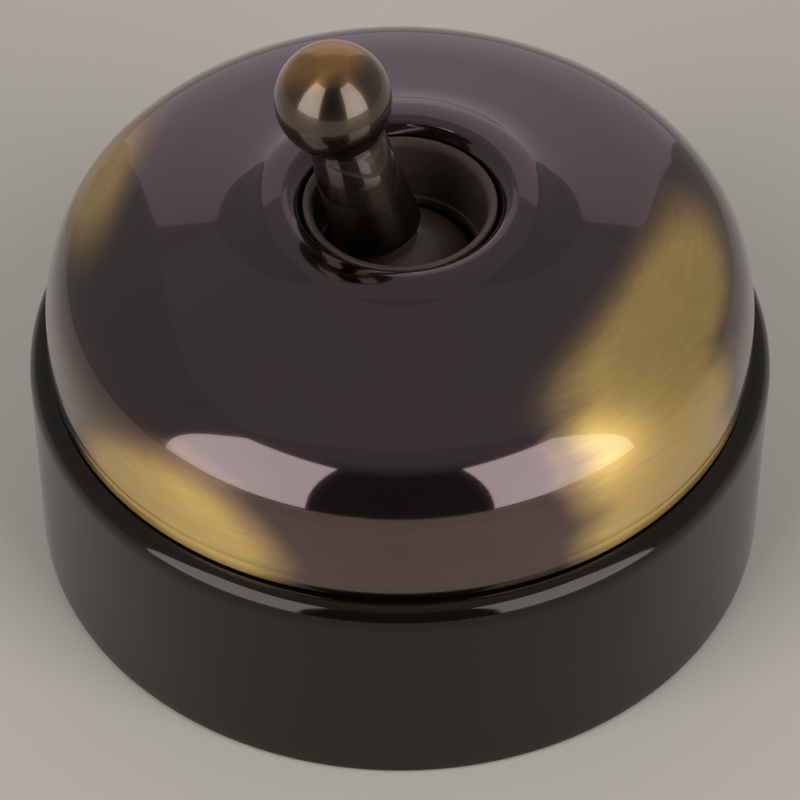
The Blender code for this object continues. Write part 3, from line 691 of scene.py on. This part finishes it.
def web_cutters():
    """What opens the web: two screw holes, two counterbored holes, a cable slot and a cable hole."""
    below = WEB_BOTTOM - OVERCUT
    above = WEB_TOP + OVERCUT
    countersunk = (
        (COUNTERSINK_RADIUS, above),
        (COUNTERSINK_RADIUS, WEB_TOP),
        (WALL_SCREW_RADIUS, WEB_TOP - COUNTERSINK_RADIUS + WALL_SCREW_RADIUS),
        (WALL_SCREW_RADIUS, below),
    )
    counterbored = (
        (MECHANISM_HOLE_RADIUS, above),
        (MECHANISM_HOLE_RADIUS, COUNTERBORE_TOP),
        (COUNTERBORE_RADIUS, COUNTERBORE_TOP),
        (COUNTERBORE_RADIUS, below),
    )
    tools = []
    for first, steps in ((WALL_SCREW_AT, countersunk), (MECHANISM_SCREW_AT, counterbored)):
        for place in (first, opposite(first)):
            tools.append(bored("screw_hole", place, steps))
    through = ((CABLE_HOLE_RADIUS, above), (CABLE_HOLE_RADIUS, below))
    tools.append(bored("cable_hole", CABLE_HOLE_AT, through))
    tools.append(prism("cable_slot", stadium(CABLE_SLOT_SIZE, CABLE_SLOT_AT, 24), below, above))
    return tools


def base_bare(points):
    """The glaze is wiped off the ring that stands on the wall."""
    return 1 - smooth(points[:, 2], *BARE_RING)


def make_base(material):
    base = turned("porcelain_base_glazed", base_outline(), segments=288)
    cut(base, *web_cutters())
    paint(base, "bare", base_bare)
    piece(base, material, "switch_body", "porcelain_base", slot="black_porcelain")


def make_thread_ring(material):
    """A brass ring with one rolled thread, which fades out at both ends."""
    low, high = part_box("cover_thread_ring")
    outer = high.x
    outline = line((outer, high.z + THREAD_MARGIN), (outer, low.z), THREAD_STEPS)
    outline += [(THREAD_RING_INNER, low.z), (THREAD_RING_INNER, high.z)]
    ring = turned("cover_thread_ring_rolled", outline, segments=288, closed=True)
    for vertex in ring.data.vertices:
        x, y, z = vertex.co
        if math.hypot(x, y) < outer - THREAD_MARGIN:
            continue
        phase = z / THREAD_PITCH - math.atan2(y, x) / (2 * math.pi)
        share = min(z - low.z, high.z - z) / THREAD_FADE
        wave = 0.5 + 0.5 * math.cos(2 * math.pi * phase)
        groove = THREAD_DEPTH * wave * max(0.0, min(1.0, share))
        vertex.co.x *= 1 - groove / outer
        vertex.co.y *= 1 - groove / outer
    piece(ring, material, "switch_body", "cover_thread_ring", slot="terminal_brass")


def dome_point(share):
    """A point of the spun dome, from its side (share 0) to its flat top (share 1)."""
    angle = share * math.pi / 2
    radius = COVER_RADIUS * math.cos(angle) ** (2 / DOME_SIDE_POWER)
    height = DOME_START + DOME_HEIGHT * math.sin(angle) ** (2 / DOME_TOP_POWER)
    return radius, height


def dome_height(radius):
    """The height of the spun dome at a radius."""
    share = (radius / COVER_RADIUS) ** (DOME_SIDE_POWER / 2)
    return DOME_START + DOME_HEIGHT * (1 - share * share) ** (1 / DOME_TOP_POWER)


def lip_points():
    """The crown and the raised lip, from the throat's edge out to where the dome takes over."""
    radius = LIP_SLOPES[-1][0] * MM
    height = dome_height(radius)
    points = [(radius, height)]
    stretches = list(zip(LIP_SLOPES, LIP_SLOPES[1:]))
    for (inner, inner_slope), (outer, outer_slope) in reversed(stretches):
        width = (outer - inner) * MM / LIP_STEPS
        for step in range(LIP_STEPS):
            share = (step + 0.5) / LIP_STEPS
            slope = outer_slope + (inner_slope - outer_slope) * share
            radius -= width
            height += width * math.tan(math.radians(slope))
            points.append((radius, height))
    return points[::-1]


def cover_outline():
    """From the throat's lower edge, over the raised lip and the dome, down to the skirt's edge."""
    lip = lip_points()
    throat = lip[0][0]
    outline = [(throat, THROAT_BOTTOM)]
    outline += line(outline[-1], lip[0], 6) + lip[1:]
    dome = [dome_point(step / DOME_STEPS) for step in range(DOME_STEPS, -1, -1)]
    outline += [p for p in dome if p[0] > lip[-1][0] + LIP_GAP and p[1] > SKIRT_TOP]
    groove = COVER_BOTTOM + RIM_LINE_HEIGHT
    outline += line((COVER_RADIUS, SKIRT_TOP), (COVER_RADIUS, groove + RIM_LINE_HALF), 3)
    outline += [(COVER_RADIUS - RIM_LINE_DEPTH, groove), (COVER_RADIUS, groove - RIM_LINE_HALF)]
    outline.append((COVER_RADIUS, COVER_BOTTOM + RIM_TAPER_TOP))
    outline.append((COVER_RADIUS - RIM_TAPER[0], COVER_BOTTOM + RIM_TAPER[1]))
    return outline


def places(obj):
    """The object's vertices as an array of points."""
    points = np.empty(len(obj.data.vertices) * 3, np.float32)
    obj.data.vertices.foreach_get("co", points)
    return points.reshape(-1, 3)


def paint(obj, name, values_at):
    """Stores values_at(points) on the vertices as the named attribute."""
    attribute = obj.data.attributes.new(name, "FLOAT", "POINT")
    attribute.data.foreach_set("value", values_at(places(obj)).astype(np.float32))


def keep_own_place(obj):
    """Remembers where the vertices are before the piece leans, for its turning marks."""
    attribute = obj.data.attributes.new("own", "FLOAT_VECTOR", "POINT")
    attribute.data.foreach_set("vector", places(obj).ravel())


def smooth(values, low, high):
    """A smooth step from 0 to 1 between two values."""
    share = np.clip((values - low) / (high - low), 0, 1)
    return share * share * (3 - 2 * share)


def azimuths(points):
    """Degrees round the switch from the front (-Y) towards +X."""
    return np.degrees(np.arctan2(points[:, 0], -points[:, 1]))


def climbs(points):
    """Degrees up the cover: 0 on the skirt, about 60 on the shoulder, over 90 on the crown."""
    outward = np.hypot(points[:, 0], points[:, 1]) - SHOULDER_AT[0]
    return np.degrees(np.arctan2(points[:, 2] - SHOULDER_AT[1], outward))


def cover_relief(points):
    """How far the bronzing is rubbed away, from 0 to about 1.2."""
    azimuth, climb = azimuths(points), climbs(points)
    relief = SKIRT_RELIEF * (1 - smooth(climb, *SKIRT_FADE))
    for (turn, rise), (wide, high), strength in COVER_SPOTS:
        across = ((azimuth - turn + 180) % 360 - 180) / wide
        distance = np.hypot(across, (climb - rise) / high)
        relief = np.maximum(relief, strength * (1 - smooth(distance, *SPOT_FADE)))
    return relief


def make_cover(material):
    cover = turned("brass_cover_spun", cover_outline(), segments=360)
    solidify = cover.modifiers.new("Thickness", "SOLIDIFY")
    solidify.thickness = COVER_THICKNESS
    solidify.offset = -1
    solidify.use_even_offset = True
    apply_modifiers(cover)
    paint(cover, "relief", cover_relief)
    piece(cover, material, "cover", "brass_cover", slot="antique_brass_cover")


def cup_outline():
    """From the rim's rounded inner edge, down the outside to the flange, and up through the opening."""
    fillet = CUP_FLANGE_TOP + CUP_FILLET
    edge = (CUP_FLANGE_RADIUS - CUP_FLANGE_ROUND, CUP_FLANGE_TOP - CUP_FLANGE_ROUND)
    outline = arc((CUP_INNER + CUP_RIM_ROUND, CUP_RIM - CUP_RIM_ROUND), CUP_RIM_ROUND, 180, 90, 14)
    outline += arc((CUP_OUTER - CUP_EDGE, CUP_RIM - CUP_EDGE), CUP_EDGE, 90, 0, 5)
    outline += line((CUP_OUTER, CUP_RIM - CUP_EDGE), (CUP_OUTER, fillet), 6)
    outline += arc((CUP_OUTER + CUP_FILLET, fillet), CUP_FILLET, 180, 270, 5)[1:]
    outline += arc(edge, CUP_FLANGE_ROUND, 90, 0, 4)
    outline += [(CUP_FLANGE_RADIUS, CUP_BOTTOM), (CUP_UNDERCUT, CUP_BOTTOM)]
    outline += [(CUP_OPENING, CUP_FLOOR_BOTTOM)]
    outline += arc((CUP_OPENING + CUP_EDGE, CUP_FLOOR_TOP - CUP_EDGE), CUP_EDGE, 180, 90, 4)
    outline += [(CUP_FLOOR_INNER, CUP_FLOOR_TOP)]
    return outline


def make_cup(material):
    cup = turned("toggle_cup_moulded", cup_outline(), segments=192, closed=True)
    steps = ((CUP_HOLE_RADIUS, CUP_FLANGE_TOP + OVERCUT), (CUP_HOLE_RADIUS, CUP_BOTTOM - OVERCUT))
    for side in (-1, 1):
        cut(cup, bored("cup_hole", (side * CUP_SCREW_X, 0), steps))
    paint(cup, "worn", lambda points: smooth(points[:, 2], CUP_RIM - CUP_WORN, CUP_RIM))
    piece(cup, material, "switch_body", "toggle_cup", slot="brown_moulding")


def on_lever(obj):
    """Puts a piece made along Z, with the pivot at its origin, on to the leaning lever."""
    lean = Matrix.Rotation(math.radians(-LEAN), 4, "Y")
    obj.data.transform(Matrix.Translation((0, 0, PIVOT_HEIGHT)) @ lean)
    return obj


def knob_outline():
    """From the top of the ball down the tapered stem and up the stud's hole."""
    joint = math.degrees(math.acos((STEM_TOP_RADIUS + STEM_FILLET) / BALL_RADIUS))
    outline = arc((0, BALL_CENTRE), BALL_RADIUS, 90, -joint, 72)
    outline[0] = (0, BALL_CENTRE + BALL_RADIUS)
    neck = outline[-1][1]
    outline.append((STEM_TOP_RADIUS + 0.25 * STEM_FILLET, neck - STEM_FILLET))
    outline.append((STEM_TOP_RADIUS, neck - 2.5 * STEM_FILLET))
    outline += line(outline[-1], (STEM_FOOT_RADIUS, STEM_END), 16)
    outline += arc((STEM_FOOT_RADIUS - STEM_ROUND, STEM_FOOT + STEM_ROUND), STEM_ROUND, 0, -90, 5)[1:]
    outline += [(STUD_HOLE, STEM_FOOT), (STUD_HOLE, STUD_TOP), (0, STUD_TOP)]
    return outline


def knob_relief(points):
    """The ball is rubbed golden on its top and back; its underside and the stem stay dark."""
    up = (points[:, 2] - BALL_CENTRE) / BALL_RADIUS
    back = points[:, 1] / BALL_RADIUS
    return 0.05 + 0.12 * smooth(up, -0.6, 0.1) + 0.75 * smooth(0.93 * up + 0.35 * back, 0.40, 0.85)


def make_knob(material):
    knob = turned("toggle_knob_turned", knob_outline(), segments=160)
    paint(knob, "relief", knob_relief)
    keep_own_place(knob)
    piece(on_lever(knob), material, "toggle_lever", "toggle_knob", slot="antique_brass_knob")


def rocker_outline():
    """From the stud's hole, over the collar, cap, neck, hub and tail, and up the plunger's bore."""
    collar = math.degrees(math.acos(COLLAR_RADIUS / CAP_RADIUS))
    rim = 90 - CAP_HALF_ANGLE
    inside = CAP_RADIUS - CAP_THICKNESS
    neck = math.degrees(math.acos(NECK_RADIUS / HUB_RADIUS))
    outline = [(0, STUD_BOTTOM), (STUD_HOLE, STUD_BOTTOM)]
    outline += [(STUD_HOLE, CAP_SEAT), (COLLAR_RADIUS, CAP_SEAT)]
    outline += arc((0, 0), CAP_RADIUS, collar, rim, 40)
    outline += arc((0, 0), inside, rim, rim + CAP_UNDERCUT, 12)
    outline += [(NECK_RADIUS, NECK_TOP)]
    outline += arc((0, 0), HUB_RADIUS, neck, -neck, 24)
    outline += [(NECK_RADIUS, TAIL_BOTTOM + TAIL_CHAMFER), (NECK_RADIUS - TAIL_CHAMFER, TAIL_BOTTOM)]
    outline += [(BORE_RADIUS, TAIL_BOTTOM), (BORE_RADIUS, BORE_END), (0, BORE_END)]
    return outline


def make_rocker(material):
    rocker = turned("toggle_rocker_moulded", rocker_outline(), segments=144)
    bar = [(0, PIN_HOLE_REACH), (PIN_HOLE_RADIUS, PIN_HOLE_REACH)]
    bar += [(PIN_HOLE_RADIUS, -PIN_HOLE_REACH), (0, -PIN_HOLE_REACH)]
    pin_hole = turned("pin_hole", bar, segments=64)
    pin_hole.data.transform(Matrix.Rotation(math.pi / 2, 4, "X"))
    cut(rocker, pin_hole)
    piece(on_lever(rocker), material, "toggle_lever", "toggle_rocker", slot="brown_moulding")


def make_spring(material):
    """A coil of round wire."""
    points = []
    count = SPRING_STEPS * SPRING_TURNS
    for index in range(count + 1):
        angle = 2 * math.pi * SPRING_TURNS * index / count
        x, y = SPRING_COIL_RADIUS * math.cos(angle), SPRING_COIL_RADIUS * math.sin(angle)
        height = SPRING_BOTTOM + (SPRING_TOP - SPRING_BOTTOM) * index / count
        points.append((x, y, height, 1))
    curve = bpy.data.curves.new("coil", "CURVE")
    curve.dimensions = "3D"
    curve.bevel_depth = SPRING_WIRE_RADIUS
    curve.bevel_resolution = 4
    curve.use_fill_caps = True
    spline = curve.splines.new("POLY")
    spline.points.add(count)
    for point, place in zip(spline.points, points):
        point.co = place
    coil = linked("coil", curve)
    mesh = bpy.data.meshes.new_from_object(coil)
    bpy.data.objects.remove(coil, do_unlink=True)
    mesh.shade_smooth()
    spring = linked("plunger_spring_coil", mesh)
    piece(on_lever(spring), material, "toggle_lever", "plunger_spring", slot="steel")
    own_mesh(spring)


def screw_outline(sizes):
    """A cheese head, slightly domed, on z = 0, and its shank with thread grooves below."""
    head_radius, head_height, shank_radius, shank_length = sizes
    edge = HEAD_ROUND * head_height
    outline = [(0, head_height), (0.5 * head_radius, head_height - HEAD_DOME)]
    outline += arc((head_radius - edge, head_height - edge), edge, 80, 0, 8)
    outline += [(head_radius, HEAD_CHAMFER), (head_radius - HEAD_CHAMFER, 0), (shank_radius, 0)]
    depth = SCREW_PITCH
    while depth < shank_length - 1.5 * SCREW_PITCH:
        outline += [(shank_radius, -depth), (shank_radius - SCREW_THREAD_DEPTH, -depth - SCREW_PITCH / 2)]
        depth += SCREW_PITCH
    outline.append((shank_radius - SCREW_POINT[0], -shank_length + SCREW_POINT[1]))
    return outline + [(SCREW_TIP * shank_radius, -shank_length), (0, -shank_length)]


def make_screws(finishes):
    """The eight slotted screws, each where its solid is."""
    for node, sizes, finish, turn, up in SCREWS:
        head_radius, head_height = sizes[:2]
        screw = turned(f"{node}_slotted", screw_outline(sizes), segments=64)
        reach, half = 1.5 * head_radius, SLOT_WIDTH / 2
        corners = [(-reach, -half), (reach, -half), (reach, half), (-reach, half)]
        cut(screw, prism("slot", corners, head_height - SLOT_DEPTH, 2 * head_height))
        low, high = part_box(node)
        under_head = high.z - head_height if up > 0 else low.z + head_height
        place = ((low.x + high.x) / 2, (low.y + high.y) / 2, under_head)
        moved(screw, place, turn, flip=up < 0)
        piece(screw, finishes[finish], "switch_body", node, slot=finish)


# ---------------------------------------------------------------- stage

def look_at(obj, target):
    """Turns a camera or a light to a point."""
    ahead = Vector(target) - obj.location
    obj.rotation_euler = ahead.to_track_quat("-Z", "Y").to_euler()


def make_camera():
    """The photograph's camera."""
    data = bpy.data.cameras.new("camera")
    data.lens = CAMERA_LENS
    data.sensor_width = 36
    data.clip_start = 0.01
    camera = linked("camera", data)
    elevation = math.radians(CAMERA_ELEVATION)
    back = Vector((0, -math.cos(elevation), math.sin(elevation)))
    camera.location = Vector(CAMERA_TARGET) + CAMERA_DISTANCE * back
    look_at(camera, CAMERA_TARGET)
    bpy.context.scene.camera = camera


def soft_box(name, azimuth):
    """An upright lit panel that faces the switch, at degrees from the front (-Y) towards +X."""
    turn = math.radians(azimuth)
    width = 2 * BOX_HALF_WIDTH * BOX_DISTANCE
    height = BOX_TOP * BOX_DISTANCE
    data = bpy.data.lights.new(name, "AREA")
    data.shape = "RECTANGLE"
    data.size = width
    data.size_y = height
    data.energy = math.pi * width * height * BOX_RADIANCE
    light = linked(name, data)
    middle = Vector((0, 0, height / 2 + BOX_BOTTOM))
    light.location = BOX_DISTANCE * Vector((math.sin(turn), -math.cos(turn), 0)) + middle
    look_at(light, middle)
    light.visible_camera = False


def glowing_sheet(name, corners, colour, radiance):
    """A flat panel that gives light, out of the camera's sight."""
    bm = bmesh.new()
    bm.faces.new([bm.verts.new(corner) for corner in corners])
    sheet = finished(name, bm)
    glow = material_nodes(name).finish(
        Base_Color=(0.0, 0.0, 0.0), Emission_Color=colour, Emission_Strength=radiance
    )
    sheet.data.materials.append(glow)
    sheet.visible_camera = False


def make_floor():
    """A wide, matt, pale floor."""
    bm = bmesh.new()
    bmesh.ops.create_grid(bm, x_segments=8, y_segments=8, size=FLOOR_HALF_SIDE)
    floor = finished("floor", bm)
    matt = material_nodes("floor").finish(
        Base_Color=FLOOR_COLOUR, Roughness=0.9, Specular_IOR_Level=0.0
    )
    floor.data.materials.append(matt)
    floor.location.z = -FLOOR_DROP


def make_world():
    """An evenly dim room, with a darker gap straight ahead between the two soft boxes."""
    world = bpy.data.worlds.new("studio")
    bpy.context.scene.world = world
    n = Nodes(world, "Generated")
    x, y, z = n.split()
    ahead = n.ramp(y, *GAP_AHEAD, 1.0, 0.0)
    low = n.ramp(z, *GAP_UPWARD, 1.0, 0.0)
    middle = n.ramp(n.maths("ABSOLUTE", x), *GAP_SIDEWAYS, 1.0, 0.0)
    gap = n.maths("MULTIPLY", n.maths("MULTIPLY", ahead, low), middle)
    n.finish(Color=ROOM_COLOUR, Strength=n.maths("MULTIPLY_ADD", gap, ROOM_GAP - ROOM, ROOM))


def make_studio():
    """Two soft boxes in front, a lit backdrop behind and a dim panel overhead."""
    make_floor()
    make_world()
    soft_box("soft_box_left", -BOX_AZIMUTH)
    soft_box("soft_box_right", BOX_AZIMUTH)
    depth = BACKDROP_DISTANCE
    half, top = BACKDROP_HALF_WIDTH * depth, BACKDROP_TOP * depth
    spots = ((-half, BACKDROP_BOTTOM), (half, BACKDROP_BOTTOM), (half, top), (-half, top))
    corners = [(x, depth, z) for x, z in spots]
    glowing_sheet("backdrop", corners, BACKDROP_COLOUR, BACKDROP_RADIANCE)
    height = CEILING_HEIGHT
    half, front, back = (height * share for share in (CEILING_HALF_WIDTH, CEILING_FRONT, CEILING_BACK))
    corners = [(x, y, height) for x, y in ((-half, front), (-half, back), (half, back), (half, front))]
    glowing_sheet("ceiling_panel", corners, CEILING_COLOUR, CEILING_RADIANCE)
    bpy.context.scene.view_settings.view_transform = "Standard"


# ---------------------------------------------------------------- build

def make_finishes():
    """The materials that several nodes share, by name."""
    return {
        "bakelite": moulded("bakelite", BAKELITE, rough=0.35, grain=0.006 * MM),
        "terminal_brass": metal("terminal_brass", BRASS, rough=0.22),
        "contact_copper": metal("contact_copper", COPPER, rough=0.25),
        "contact_silver": metal("contact_silver", SILVER, rough=0.18, tarnish=0.3),
        "steel": metal("steel", STEEL, rough=0.25, tarnish=0.3),
        "fibre_lining": fibre(),
    }


def finish_carried(finishes):
    """Gives the CAD nodes that are shown as they are their materials."""
    for finish, names in CARRIED.items():
        for name in names:
            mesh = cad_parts[name].data
            mesh.materials.clear()
            mesh.materials.append(finishes[finish])


def build():
    make_camera()
    make_studio()
    finishes = make_finishes()
    brown = moulded("brown_moulding", BROWN_MOULDING, rough=0.24, grain=0.004 * MM)
    make_base(black_porcelain())
    make_cover(antique_brass("antique_brass_cover", **COVER_FINISH))
    make_cup(brown)
    make_knob(antique_brass("antique_brass_knob", **KNOB_FINISH))
    make_rocker(brown)
    make_spring(finishes["steel"])
    make_thread_ring(finishes["terminal_brass"])
    make_screws(finishes)
    finish_carried(finishes)


build()
